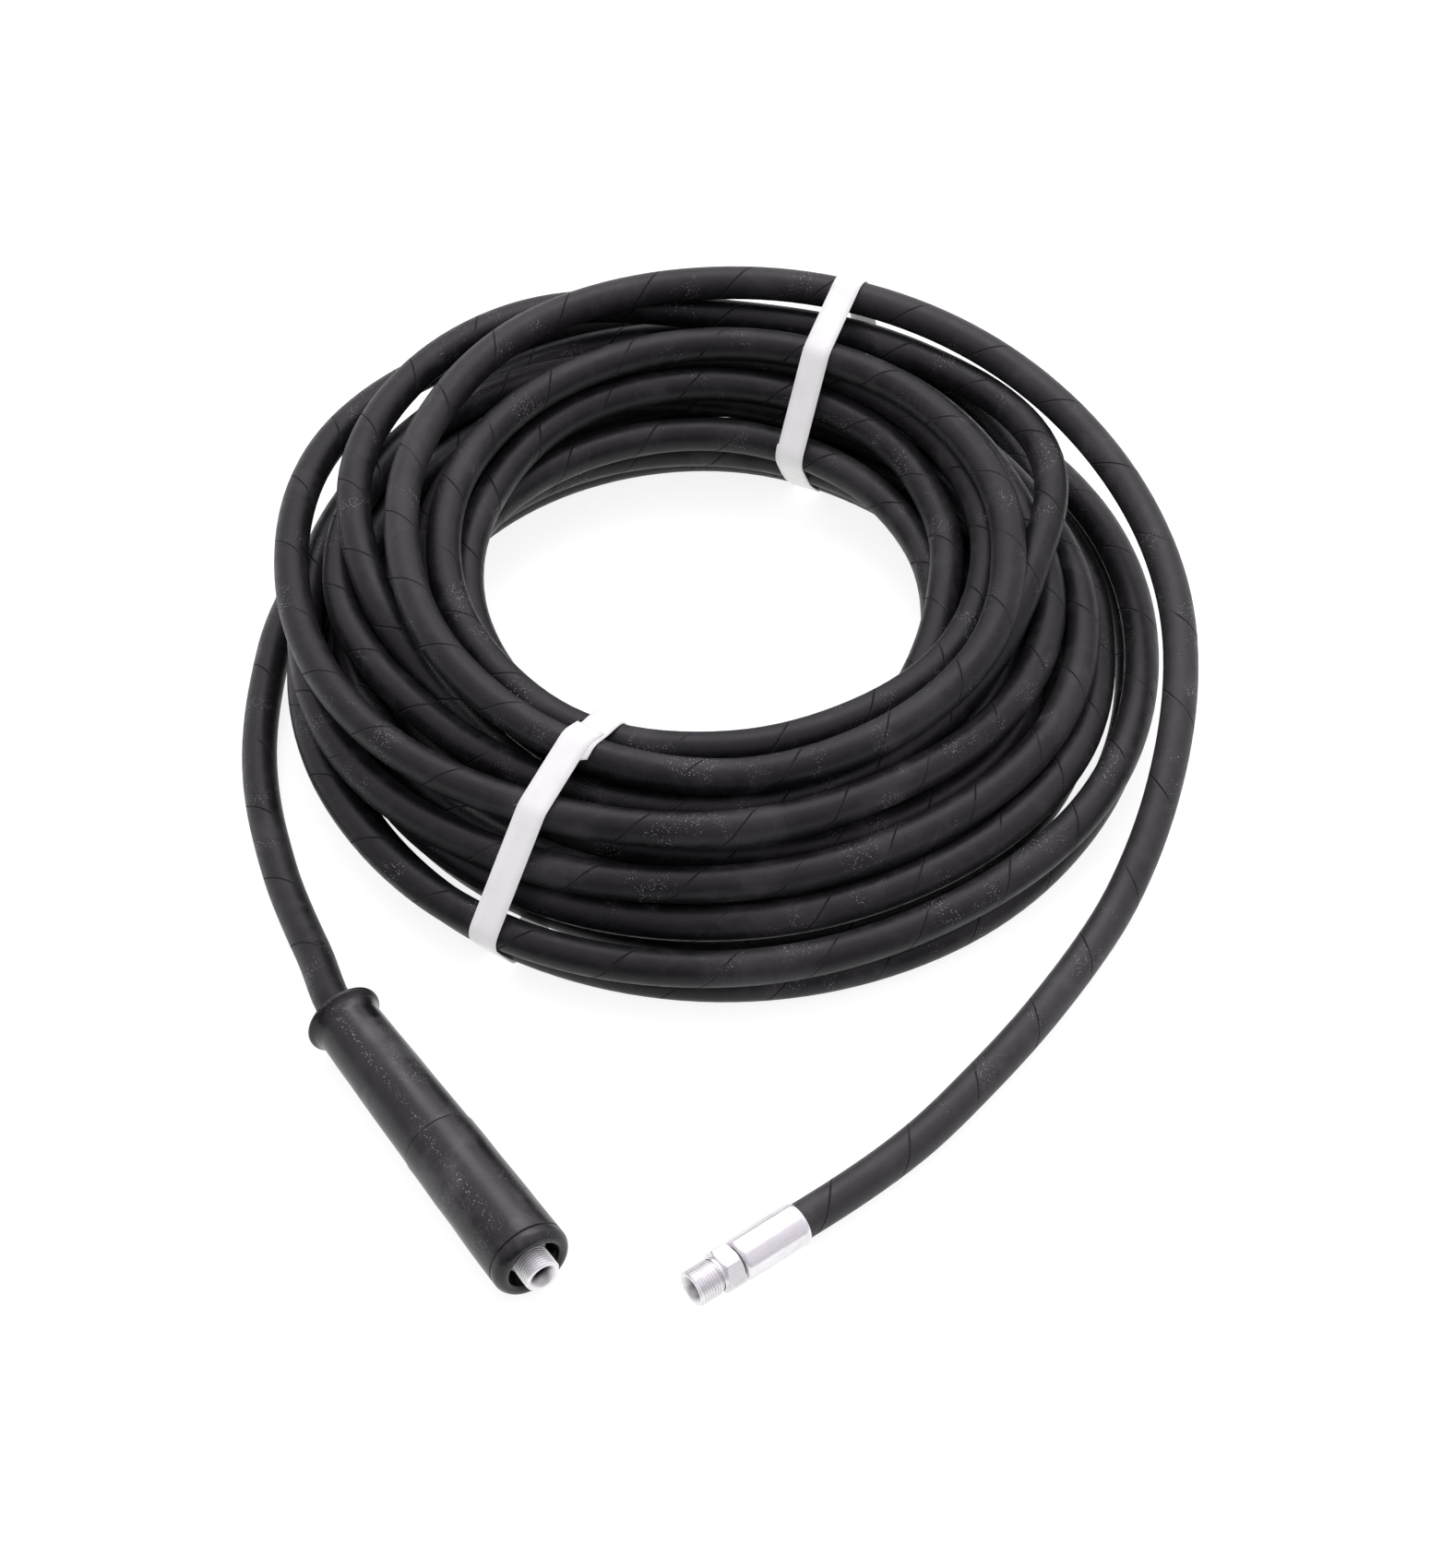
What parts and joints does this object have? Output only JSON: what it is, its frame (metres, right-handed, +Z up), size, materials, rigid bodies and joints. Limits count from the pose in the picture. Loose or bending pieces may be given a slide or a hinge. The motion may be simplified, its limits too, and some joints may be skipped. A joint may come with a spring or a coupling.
{
  "type": "pressure washer hose",
  "caption": "Black high-pressure hose wound into a flat round bundle with two straps, a rubber grip round one threaded end and a bare crimped fitting on the other.",
  "frame": {"origin": "bottom centre of the whole hose, on the floor it lies on", "axes": "+Z up, +Y from the two free ends towards the back of the bundle, +X to the right seen from the free ends"},
  "size_m": [0.4616, 0.5992, 0.0956],
  "materials": {
    "hose_rubber": "matt black wrapped rubber with a cloth impression and a spiral wrap line",
    "grip_rubber": "smooth black moulded rubber, slightly dusty",
    "zinc_steel": "bright zinc plated",
    "strap": "matt white"
  },
  "bodies": {
    "root": {"hose_coil": "hose_rubber", "hose_to_fitting": "hose_rubber", "hose_to_grip": "hose_rubber", "strap_front": "strap", "strap_back": "strap", "end_ferrule": "zinc_steel", "end_nipple": "zinc_steel", "grip_collar": "grip_rubber", "grip_nose": "grip_rubber", "grip_ferrule": "zinc_steel", "grip_nipple": "zinc_steel"}
  },
  "joints": []
}
